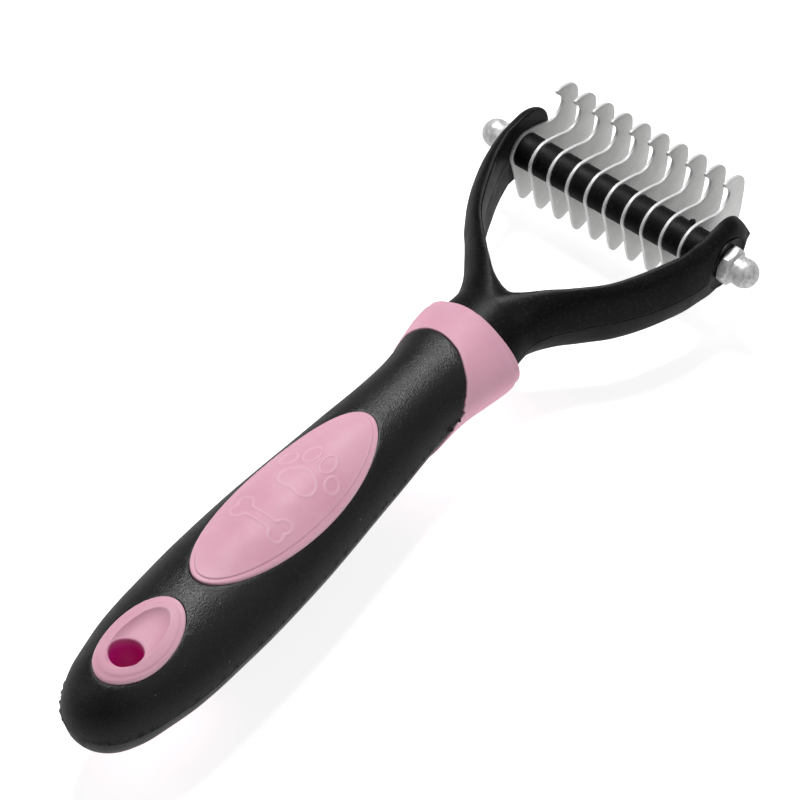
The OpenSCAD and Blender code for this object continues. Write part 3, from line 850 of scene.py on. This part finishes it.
def build_eye():
    count = 144
    half_w, half_l = EYE_W - FIT, EYE_L - FIT

    def rim(inset):
        return ellipse(half_w - inset, half_l - inset, count, EYE_Y)
    spoon = ellipse(SPOON_W, SPOON_L, count, SPOON_Y)
    spoon[:, 0] *= spoon_width(spoon[:, 1]) / SPOON_W
    hole = ellipse(HOLE_R, HOLE_R, count, HOLE_Y)
    loops, deep, edge = [], [], []

    def add(plan, z, depth=0.0, bright=0.0):
        loops.append(np.column_stack([plan, z]))
        deep.append(np.full(count, depth))
        edge.append(np.full(count, bright))
    # painted highlight along the eye's rim; below, the same along the hollow's edge
    for d in (0, 0.04, 0.12, 0.25, 0.4, 0.55, 0.7, 0.8, 0.9, 1.0, 1.15, 1.4, 1.8, 2.2, 2.4):
        plan = rim(d)
        add(plan, eye_top(*plan.T) - lip(d, EYE_LIP), 0, hump(d, 0.3))
    start = rim(2.5)
    mouth = hole * (HOLE_R + HOLE_ROUND) / HOLE_R - [0, HOLE_Y * HOLE_ROUND / HOLE_R]
    for share in np.concatenate([[0, 0.15, 0.24, 0.28], np.linspace(0.3, 0.5, 12), np.linspace(0.52, 1, 14)]):
        plan = np.where(share < SPOON_SHARE, start + (spoon - start) * share / SPOON_SHARE,
                        spoon + (mouth - spoon) * (share - SPOON_SHARE) / (1 - SPOON_SHARE))
        add(plan, eye_top(*plan.T), 0, hump(share - SPOON_SHARE, 0.03))
    mouth_z = loops[-1][:, 2]
    # the hole's walls get painted shade: deep magenta, stronger with depth and at the mouths
    for turn in (20, 45, 70, 90):
        t = math.radians(turn)
        out = HOLE_ROUND * (1 - math.sin(t))
        plan = hole + (hole - [0, HOLE_Y]) * out / HOLE_R
        add(plan, mouth_z - HOLE_ROUND * (1 - math.cos(t)), 0.25 * turn / 90)
    for drop in (0.6, 1.2, 2.5, 4.5, 8, 12):
        add(hole, mouth_z - HOLE_ROUND - drop, min(1.0, 0.4 + drop * 0.3))
    low = -top_height(*hole.T, EYE_RISE)
    add(hole, low + 2.5, 1.0)
    for turn in (0, 30, 60, 90):
        t = math.radians(turn)
        plan = hole + (hole - [0, HOLE_Y]) * HOLE_ROUND * (1 - math.cos(t)) / HOLE_R
        add(plan, -top_height(*plan.T, EYE_RISE) + HOLE_ROUND * (1 - math.sin(t)), 0.6 * (1 - turn / 90))
    for share in (0.3, 0.6, 0.85):
        plan = mouth + (rim(0.4) - mouth) * share
        add(plan, -top_height(*plan.T, EYE_RISE))
    # painted highlight along the rim underneath
    for d in (0.4, 0.25, 0.12, 0.04, 0):
        plan = rim(d)
        add(plan, -top_height(*plan.T, EYE_RISE) + lip(d, EYE_LIP), 0, hump(d, 0.3))
    points, faces = strips(loops, wrap=True)
    make_piece("hang_eye", points, faces, "handle", "core_plastic", ["handle_core"], 50,
               np.concatenate(edge), deep=np.concatenate(deep))


# ---------------------------------------------------------------- fork
fork_outer = profile([
    (-56, 10.4), (-51, 10.4), (-49, 10.3), (-44.5, 10.1), (-41.8, 10.8), (-38.3, 12.5), (-35, 14.8),
    (-31, 17.8),
    (-28, 20.3), (-25, 22.3), (-22, 24.2), (-18, 26.2), (-12, 28.4), (-6, 29.6), (0, 30.1), (5, 29.9),
    (9.2, 28.4)])
fork_inner = profile([
    (-31, 12.3), (-27.4, 15.8), (-24.8, 17.7), (-21.7, 19.4), (-18.6, 20.9), (-15.3, 22.3),
    (-12, 23.7), (-9.3, 24.6), (-7, 25.25), (-5.4, 25.65), (-4.6, 25.85)])
# The crotch: its ridge on the fork's top and bottom, and its nose at mid height, as (x, y) pairs
CROTCH_RIDGE = curve([(0, -44), (1.4, -42.6), (2.7, -41.05), (3.8, -39.8), (5.3, -38.1), (6.8, -36.4),
                      (8, -35.1), (10.2, -33.05), (12.3, -31)], 8)
CROTCH_NOSE = curve([(0, -37.3), (1.8, -37.2), (3.2, -36.9), (4.4, -36.55), (5.8, -36), (7.2, -35.2),
                     (8.4, -34.4), (10.3, -32.8), (12.3, -31)], 8)
SHANK_BACK = -54.5
CROTCH_Y = -44.0
ARMS_Y = -31.0
ARM_EDGE = 0.42                           # round on the arms' edges
STATION_STEP = 0.8                        # spacing of the rows of points along the fork
FACE_STEP = 0.62                          # spacing of the points on its outer faces
RAMP_BACK = -9.0                          # stations stand closer from here to the seats


def ridge(y):
    """Half width of the fork's opening at its top and bottom, and the opening's nose (x, y) below it."""
    x = np.where(y < CROTCH_Y, 0.0, np.interp(y, CROTCH_RIDGE[:, 1], CROTCH_RIDGE[:, 0]))
    nose_x = np.where(y < CROTCH_Y, 0.0, np.interp(y, CROTCH_RIDGE[:, 1], CROTCH_NOSE[:, 0]))
    nose_y = np.where(y < CROTCH_Y, y, np.interp(y, CROTCH_RIDGE[:, 1], CROTCH_NOSE[:, 1]))
    arm = np.where(y < SEAT_START, fork_inner(np.minimum(y, SEAT_START)), SEAT_X)
    ahead = y > ARMS_Y
    return np.where(ahead, arm, x), np.where(ahead, arm, nose_x), np.where(ahead, y, nose_y)


def station(u):
    """Place y, and the share of an arm's height there, for a coordinate that runs on round the arm's end."""
    turn = np.clip((u - ARM_ROUND_Y) / ARM_H, 0, np.pi / 2)
    return np.where(u < ARM_ROUND_Y, u, ARM_ROUND_Y + ARM_H * np.sin(turn)), turn


def shelf(y):
    """Where the rounded outer face starts: the ridge, moved out by the edge's round on the arms."""
    x, nose_x, nose_y = ridge(y)
    depth = np.hypot(nose_x - x, nose_y - y)
    return x + ARM_EDGE * (1 - smooth(0, 1.2, depth)) * (y > CROTCH_Y)


def arm_face(u, angle):
    """Point on the right arm's rounded outer face; angle is 90 degrees at the top ridge."""
    y, turn = station(u)
    high = ARM_H * np.cos(turn)
    start = shelf(y)
    thick = fork_outer(y) - start
    rise = np.abs(np.sin(angle))
    z = high * np.sin(angle)
    draft = DRAFT * high * rise * (1 - rise) * smooth(-49, -40, y)
    wander = 0.03 * np.sin(0.8 * u) + 0.02 * np.sin(2.1 * u + 1)
    groove = 0.2 * (1 - smooth(0, 0.26, np.abs(z - wander)))
    step = 0.07 * smooth(0.0, -0.1, z - wander) * smooth(0.7, 0.4, rise)
    x = start + np.maximum(thick * np.cos(angle) - (draft + groove + step), 0)
    past = np.hypot(y, z) - RECESS_R
    x = x - lip(np.where(np.abs(y) < 12, np.maximum(past, 0), 9), RECESS_LIP)
    return columns(x, y, z)


def recess_rim(radius, count=90):
    """Circle of the nut's recess on an arm's outer face, as flat (u, angle * scale) coordinates."""
    t = full_turn(count)
    y, z = radius * np.cos(t), radius * np.sin(t)
    past = np.clip((y - ARM_ROUND_Y) / ARM_H, 0, 1)
    u = np.where(y > ARM_ROUND_Y, ARM_ROUND_Y + ARM_H * np.arcsin(past), y)
    high = ARM_H * np.sqrt(1 - past**2)
    return columns(u, np.arcsin(z / high) * ARM_H)


def wall_rows():
    """Rows down half of the opening's wall: its rounded top, its drop, and z near the parting line."""
    rows = [("round", t) for t in np.linspace(0, 1, 12)]
    rows += [("drop", s) for s in (0.85, 0.7, 0.55, 0.4, 0.25, 0.12, 0.0)]
    return rows + [("near", z) for z in (0.2, 0.0)]


def wall_loop(u, kind, amount):
    """One row along the opening's wall, upper half, from the crotch to the arm's tip."""
    y, turn = station(u)
    x, nose_x, nose_y = ridge(y)
    start = shelf(y)
    depth = np.hypot(nose_x - x, nose_y - y)
    tall = ARM_EDGE + (ARM_H - 0.7 - ARM_EDGE) * smooth(0.0, 1.3, depth)
    near = 0.45
    if kind == "round":
        share, drop = math.sin(amount * math.pi / 2), tall * (1 - math.cos(amount * math.pi / 2))
    elif kind == "drop":
        share, drop = 1.0, tall + (ARM_H - near - tall) * (1 - amount)
    else:
        share, drop = 1.0, np.full(len(u), ARM_H - amount)
    groove = 0.14 if (kind == "near" and amount == 0) else 0.0
    height = (ARM_H - drop) * np.cos(turn)
    radial = np.minimum(drop, ARM_EDGE) * (1 if kind == "round" else 0) + (ARM_EDGE if kind != "round" else 0)
    px = start + (nose_x - start) * share + groove * smooth(0.3, 1.5, nose_x)
    py = y + (nose_y - y) * share - radial * np.sin(turn) - groove * smooth(1.5, 0.3, nose_x)
    return columns(px, py, height)


def nut_recess(floor_x):
    """The nut's recess: its wall, its floor and the rod's bore behind it."""
    rim = recess_rim(RECESS_R)
    rim_points = arm_face(rim[:, 0], rim[:, 1] / ARM_H)
    turn = np.arctan2(rim_points[:, 2], rim_points[:, 1])
    loops = [rim_points]

    def circle(x, r):
        return columns(x, r * np.cos(turn), r * np.sin(turn))
    for share in (0.35, 0.7):
        deeper = rim_points.copy()
        deeper[:, 0] = rim_points[:, 0] * (1 - share) + (floor_x + 0.1) * share
        loops.append(deeper)
    loops += [circle(floor_x + 0.1, RECESS_R), circle(floor_x + 0.03, RECESS_R - 0.03),
              circle(floor_x, RECESS_R - 0.1), circle(floor_x, 4.4), circle(floor_x, BORE_R),
              circle(SEAT_X + 0.4, BORE_R), circle(SEAT_X + 0.4, 0)]
    return strips(loops)


def leaned(points):
    """The right arm's inner edges stand in a little, clear of the spacer that ends there."""
    x, y, z = points.T
    inner = smooth(SEAT_X + 2.5, SEAT_X + 0.3, x) * smooth(-11, -5, y)
    return points - np.outer(0.75 * inner * smooth(4.9, 7.6, np.hypot(y, z)), [1, 0, 0])


def build_fork():
    ends = ARM_ROUND_Y + ARM_H * np.radians(np.array([4, 12, 20, 28, 36, 44, 52, 60, 68, 75, 81, 86, 90]))
    crotch = CROTCH_RIDGE[:, 1]
    opened = np.unique(np.round(np.concatenate([
        crotch, np.arange(ARMS_Y, RAMP_BACK - 0.4, STATION_STEP)[1:], np.linspace(RAMP_BACK, SEAT_START, 10),
        np.arange(SEAT_START + STATION_STEP, ARM_ROUND_Y, STATION_STEP), ends]), 6))
    shank = np.arange(SHANK_BACK, CROTCH_Y - 0.2, STATION_STEP)
    stations = np.concatenate([shank, opened])
    half_turn = np.pi / 2 * ARM_H
    side = np.linspace(-half_turn, half_turn, 44)[1:-1]
    outline = np.concatenate([
        columns(stations, -half_turn),
        columns(stations[-1], side),
        columns(stations[::-1], half_turn),
        columns(SHANK_BACK, side[::-1])])
    lines = []
    for r in (0.05, 0.13, 0.25, RECESS_LIP):
        ring = recess_rim(RECESS_R + r)
        lines.append(np.concatenate([ring, ring[:1]]))
    for z in (-0.45, -0.22, -0.1, 0.0, 0.1, 0.22, 0.45):
        for start, end in ((SHANK_BACK + 0.5, -RECESS_R - 1.2), (RECESS_R + 1.2, ends[-2])):
            lines.append(columns(np.arange(start, end, 0.5), z))
    grid = np.array([(u, a) for k, u in enumerate(np.arange(SHANK_BACK + 0.5, ends[-1], FACE_STEP))
                     for a in np.arange(-half_turn + 0.6 + 0.3 * (k % 2), half_turn - 0.5, FACE_STEP)])
    flat, faces = triangulate(outline, [recess_rim(RECESS_R)], lines, grid, 0.26)
    face_points = arm_face(flat[:, 0], flat[:, 1] / ARM_H)
    past = np.hypot(face_points[:, 1], face_points[:, 2]) - RECESS_R
    # painted highlights: a light line round the recess's lip and along the arms' top and bottom ridges
    at_recess = hump(past, 0.3) * (np.abs(past) < 2)
    at_ridge = hump(half_turn - np.abs(flat[:, 1]), 0.5) * (flat[:, 0] > -42) * 0.8
    face_edge = at_recess + at_ridge
    recess_points = []
    for floor_x in (FLOOR_RIGHT, FLOOR_LEFT):
        recess, recess_faces = nut_recess(floor_x)
        recess_points.append(recess)
    # the opening's wall, both halves
    upper = [wall_loop(opened, kind, amount) for kind, amount in wall_rows()]
    lower = [loop * [1, 1, -1] for loop in upper[::-1]]
    wall, wall_faces = strips(upper + lower[1:], closed=False)
    # the hidden back of the shank
    back = columns(SHANK_BACK, np.concatenate([[-half_turn], side, [half_turn]]))
    back_points = arm_face(back[:, 0], back[:, 1] / ARM_H)
    cap, cap_faces = strips([back_points, back_points * [0, 1, 1]], closed=False)
    rows = 2 * len(upper) - 1
    from_rim = [min(i, rows - 1 - i) for i in range(rows)]
    # painted highlight along the opening's rounded rims
    wall_edge = np.concatenate([np.full(len(opened), 0.8 * hump(i, 3)) for i in from_rim])
    halves = []
    for recess, side_x in zip(recess_points, (1, -1)):
        half, half_faces = joined([(face_points, faces.tolist()), (recess, recess_faces),
                                   (wall, wall_faces), (cap, cap_faces)])
        if side_x > 0:
            half = leaned(half)
        halves.append((half * [side_x, 1, 1], half_faces))
    edge = np.concatenate([face_edge, np.zeros(len(recess)), wall_edge, np.zeros(len(cap))])
    both, both_faces = joined(halves)
    make_piece("fork", both, both_faces, "handle", "fork_plastic", ["fork"], 42, np.concatenate([edge, edge]))


# ---------------------------------------------------------------- blades, spacers, rod and nuts
# Blade outline, from the eye forward along the hooked edge and back under, as (y, z) pairs
BLADE_EDGE = [(1, 4.33), (3, 3.7), (6.4, 2.3), (9.6, 0.75), (11.6, 0.6), (13.4, 1.6), (14.2, 3.6),
              (13.3, 5.6),
              (12, 7.2), (12.1, 8.1), (14.4, 7.9), (17.2, 6.6), (19.2, 4.4), (19.9, 1.8), (19.7, -2),
              (19.2, -6.4), (17.9, -10), (14.6, -13.4), (9.4, -15.7), (4, -16.8), (1.2, -17), (-0.5, -15.9),
              (-1.6, -13), (-2.6, -8.4), (-3.5, -3.9), (-4.1, -1.7)]
BLADE_EYE_R = 4.45
BLADE_BEVEL = 0.12
BORE_BEVEL = 0.08                         # on the edges of the blades' bores
BORE_POINTS = 40


def blade_outline():
    turn = np.radians(np.arange(202, 81, -5))
    eye = BLADE_EYE_R * columns(np.cos(turn), np.sin(turn))
    return np.concatenate([curve(BLADE_EDGE, 6)[:-1], eye])


def build_blades():
    outline = blade_outline()
    inset = moved_in(outline, BLADE_BEVEL)
    half_inset = moved_in(outline, BLADE_BEVEL * 0.3)
    bored = ellipse(BORE_R, BORE_R, BORE_POINTS)
    bored_inset = ellipse(BORE_R + BORE_BEVEL, BORE_R + BORE_BEVEL, BORE_POINTS)
    grid = np.array([(y, z) for y in np.arange(-6, 21, 1.6) for z in np.arange(-18, 9, 1.6)])
    flat, faces = triangulate(inset, [bored_inset], [], grid, 0.5)
    for i, node in enumerate(BLADES):
        low, high = cad_box(node)
        middle, half = (low[0] + high[0]) / 2, (high[0] - low[0]) / 2
        parts, edges = [], []
        for side in (-1, 1):
            plane = np.column_stack([np.full(len(flat), middle + side * half), flat])
            parts.append((plane, faces.tolist()))
            edges.append(np.zeros(len(flat)))

        def loop(plan, x):
            return np.column_stack([np.full(len(plan), x), plan])
        rim = [(inset, -half), (half_inset, -half + BLADE_BEVEL * 0.3), (outline, -half + BLADE_BEVEL),
               (outline, half - BLADE_BEVEL), (half_inset, half - BLADE_BEVEL * 0.3), (inset, half)]
        parts.append(strips([loop(plan, middle + x) for plan, x in rim]))
        # painted highlight along the blade's rim, strongest round the eye
        shine = 0.2 + 0.8 * hump(np.maximum(np.hypot(*outline.T) - BLADE_EYE_R, 0), 1.6)
        edges.append(np.outer([0.3, 1, 1, 1, 1, 0.3], shine).ravel())
        parts.append(strips([loop(bored_inset, middle - half), loop(bored, middle - half + BORE_BEVEL),
                             loop(bored, middle + half - BORE_BEVEL), loop(bored_inset, middle + half)]))
        edges.append(np.zeros(4 * BORE_POINTS))
        points, sides = joined(parts)
        tone = 0.5 + 0.5 * math.sin(2.4 * i + 0.7)
        make_piece(node, points, sides, "blade_pack", "blade_steel", [node], 25, np.concatenate(edges),
                   tone=tone)


STUB_SPACER = "spacer_09"                 # keeps the stub where it was cut from its runner
STUB_POINTS = 20


def runner_stub(start, end, radius):
    """The stub of a spacer's runner, on its upper front."""
    lean = math.radians(48)
    t = full_turn(STUB_POINTS)
    uneven = 1 + 0.15 * np.sin(3 * t + 0.5)
    loops = []
    for share, grow in ((0, 1.0), (0.5, 0.95), (0.85, 0.8), (1, 0.5), (1, 0)):
        out = radius - 0.3 + 0.95 * share
        along = start + 0.74 * (end - start) + 0.65 * grow * uneven * np.cos(t)
        across = 1.1 * grow * uneven * np.sin(t)
        loops.append(columns(along, out * math.cos(lean) - across * math.sin(lean),
                             out * math.sin(lean) + across * math.cos(lean)))
    return strips(loops)


def build_spacers():
    for i, node in enumerate(SPACERS):
        low, high = cad_box(node)
        start, end, radius = low[0], high[0], high[2]
        crude = 0.7 * i

        def shaped(r, angles, radius=radius, crude=crude):
            if r < radius * 0.9:
                return np.full(len(angles), r)
            seam = 0.05 * hump(np.sin(angles / 2 + crude * 0.3), 0.03)
            return r - 0.05 - 0.03 * np.sin(2 * angles + crude) + seam
        rows = [(start, BORE_R), (start, radius - 0.35), (start + 0.08, radius - 0.12),
                (start + 0.25, radius)]
        rows += [(x, radius - 0.03) for x in np.linspace(start + 0.7, end - 0.7, 6)]
        rows += [(end - 0.25, radius), (end - 0.08, radius - 0.12), (end, radius - 0.35), (end, BORE_R)]
        points, faces = turned(rows + [rows[0]], 64, shaped)
        # painted highlight on the rounded ends, and on the runner's stub
        edge = np.repeat([0] + [0.5, 0.8, 0.5] + [0] * 6 + [0.5, 0.8, 0.5, 0, 0], 64)
        parts = [(points, faces)]
        if node == STUB_SPACER:
            parts.append(runner_stub(start, end, radius))
            edge = np.concatenate([edge, np.full(len(parts[1][0]), 0.5)])
        points, faces = joined(parts)
        make_piece(node, points, faces, "blade_pack", "spacer_plastic", [node], 35, edge)


THREAD_LEAD = 0.8
THREAD_DEPTH = 0.42
THREAD_STEPS = 8                          # rows of points to a turn of the thread
ROD_POINTS = 28


def build_threaded_rod():
    major = ROD_HIGH[2] - 0.03
    minor = major - THREAD_DEPTH
    start, end = ROD_LOW[0], ROD_HIGH[0]
    x_rows = np.linspace(start + 0.25, end - 0.25, int((end - start) / THREAD_LEAD * THREAD_STEPS))
    angles = full_turn(ROD_POINTS)
    chamfer = minor - 0.15
    loops = [columns(start, 0 * angles, 0 * angles),
             columns(start, chamfer * np.cos(angles), chamfer * np.sin(angles))]
    for x in x_rows:
        phase = ((x / THREAD_LEAD) - angles / (2 * np.pi)) % 1.0
        height = np.clip((0.5 - np.abs(phase - 0.5)) * 2.6 - 0.5, 0, 1)
        fade = smooth(0, 1.0, min(x - start, end - x))
        r = minor - 0.1 * (1 - fade) + (major - minor) * height * fade
        loops.append(columns(x, r * np.cos(angles), r * np.sin(angles)))
    loops += [loops[1] + [end - start, 0, 0], loops[0] + [end - start, 0, 0]]
    points, faces = strips(loops)
    make_piece("threaded_rod", points, faces, "rod_and_left_nut", "rod_steel", ["threaded_rod"], 60)


HEX_H = 2.4                               # height of a nut's hexagon
DOME_R = 3.3
NECK_R = 3.2                              # the round neck between the hexagon and the dome
NECK_L = 2.2
NUT_BORE_R = 2.53
NUT_BORE_DEPTH = 5.5


def build_nuts():
    flats = NUT_HIGH[1] - NUT_LOW[1]
    corner = flats / 2 / math.cos(math.radians(30))

    def hexagon(r, angles):
        if r < corner - 1.6:
            return np.full(len(angles), r)
        # the corners point up and down, and are turned off by a cone at both ends
        from_flat = (angles + np.pi / 6 + np.pi / 2) % (np.pi / 3) - np.pi / 6
        soft = flats / 2 / np.cos(from_flat)
        soft = -0.05 * np.log(np.exp(-soft / 0.05) + np.exp(-(corner - 0.06) / 0.05))
        return np.minimum(soft, r)
    rows = [(0.0, NUT_BORE_R), (0.0, 3.4), (0.0, corner - 0.75)]
    rows += [(x, corner - 0.75 + x * 1.7) for x in (0.08, 0.16, 0.24, 0.32, 0.4)]
    rows += [(x, corner + 0.5) for x in (0.7, 1.1, 1.5)]
    rows += [(x, corner + 0.02 - (x - 1.6) * 1.15) for x in np.linspace(1.65, HEX_H - 0.06, 9)]
    rows += [(HEX_H, corner - 1.15), (HEX_H, 3.6), (HEX_H + 0.04, NECK_R + 0.15),
             (HEX_H + 0.15, NECK_R + 0.03),
             (HEX_H + 0.35, NECK_R), (HEX_H + NECK_L * 0.6, NECK_R), (HEX_H + NECK_L - 0.62, NECK_R + 0.01)]
    rows += [(HEX_H + NECK_L + DOME_R * math.sin(math.radians(t)), DOME_R * math.cos(math.radians(t)))
             for t in range(-8, 90, 7)]
    rows += [(HEX_H + NECK_L + DOME_R, 0)]
    rows = [(NUT_BORE_DEPTH, 0), (NUT_BORE_DEPTH, NUT_BORE_R)] + rows
    for side, floor_x, node, body in ((1, FLOOR_RIGHT, "acorn_nut_right", "right_nut"),
                                      (-1, FLOOR_LEFT, "acorn_nut_left", "rod_and_left_nut")):
        points, faces = turned(rows, 96, hexagon)
        dent = 0.03 * np.sin(points[:, 1] * 2.1 + side) * np.sin(points[:, 2] * 1.7 + points[:, 0])
        points = points + columns(np.zeros(len(points)), dent, -dent) * (points[:, 0] > HEX_H)[:, None]
        points = (points + [floor_x + SEAT_GAP, 0, 0]) * [side, 1, 1]
        make_piece(node, points, faces, body, "nut_zinc", [node], 28)


build_grip()
build_collar()
build_panel()
build_eye()
build_fork()
build_blades()
build_spacers()
build_threaded_rod()
build_nuts()


# ---------------------------------------------------------------- floor, light and camera
FLOOR_Z = cad_box(BLADES[0])[0][2] - 0.7  # just under the blades


FLOOR_HALF = 1200.0


def build_floor():
    line = np.linspace(-FLOOR_HALF, FLOOR_HALF, 24)
    loops = [columns(line, y, FLOOR_Z) for y in line]
    points, faces = strips(loops, closed=False)
    mesh = bpy.data.meshes.new("floor")
    mesh.from_pydata(in_row(points).tolist(), [], faces)
    floor = linked("floor", mesh)
    mesh.materials.append(floor_material())


AIM = np.array([2.0, -80.0, 0.0])         # middle of the comb


def softbox(name, offset, width, power):
    """Area light at an offset from the comb's middle, turned to face it."""
    data = bpy.data.lights.new(name, "AREA")
    data.shape = "DISK"
    data.size = width * MM
    data.energy = power
    light = linked(name, data)
    light.location = Vector(in_row(AIM + np.array(offset)))
    light.rotation_euler = Vector(-np.array(offset, float)).to_track_quat("-Z", "Y").to_euler()


def build_light():
    softbox("overhead", (-240, 270, 720), 260, 5.6)
    softbox("from_left", (-560, -420, 420), 240, 0.45)
    softbox("from_right", (520, 120, 560), 700, 0.75)
    world = bpy.data.worlds.new("studio")
    bpy.context.scene.world = world
    world.use_nodes = True
    background = world.node_tree.nodes["Background"]
    background.inputs["Color"].default_value = (1, 1, 1, 1)
    background.inputs["Strength"].default_value = 0.1
    bpy.context.scene.view_settings.view_transform = "Standard"


AZIMUTH, ELEVATION, ROLL = 39.049, 51.147, -0.847
CAMERA_AT = (292.114, -435.706, 580.781)
SENSOR = 36
FOCAL = 161.806


def build_camera():
    """Camera at the photograph's viewing angle. Azimuth 0 looks along +Y."""
    a, e, roll = (math.radians(d) for d in (AZIMUTH, ELEVATION, ROLL))
    back = Vector((math.sin(a) * math.cos(e), -math.cos(a) * math.cos(e), math.sin(e)))
    level = Vector((math.cos(a), math.sin(a), 0))
    upright = back.cross(level)
    right = level * math.cos(roll) + upright * math.sin(roll)
    up = upright * math.cos(roll) - level * math.sin(roll)
    data = bpy.data.cameras.new("camera")
    data.sensor_width = SENSOR
    data.lens = FOCAL
    data.clip_start, data.clip_end = 0.02, 10
    camera = linked("camera", data)
    turn = Matrix((right, up, back)).transposed().to_4x4()
    camera.matrix_world = Matrix.Translation(Vector(in_row(CAMERA_AT))) @ turn
    bpy.context.scene.camera = camera


build_floor()
build_light()
build_camera()
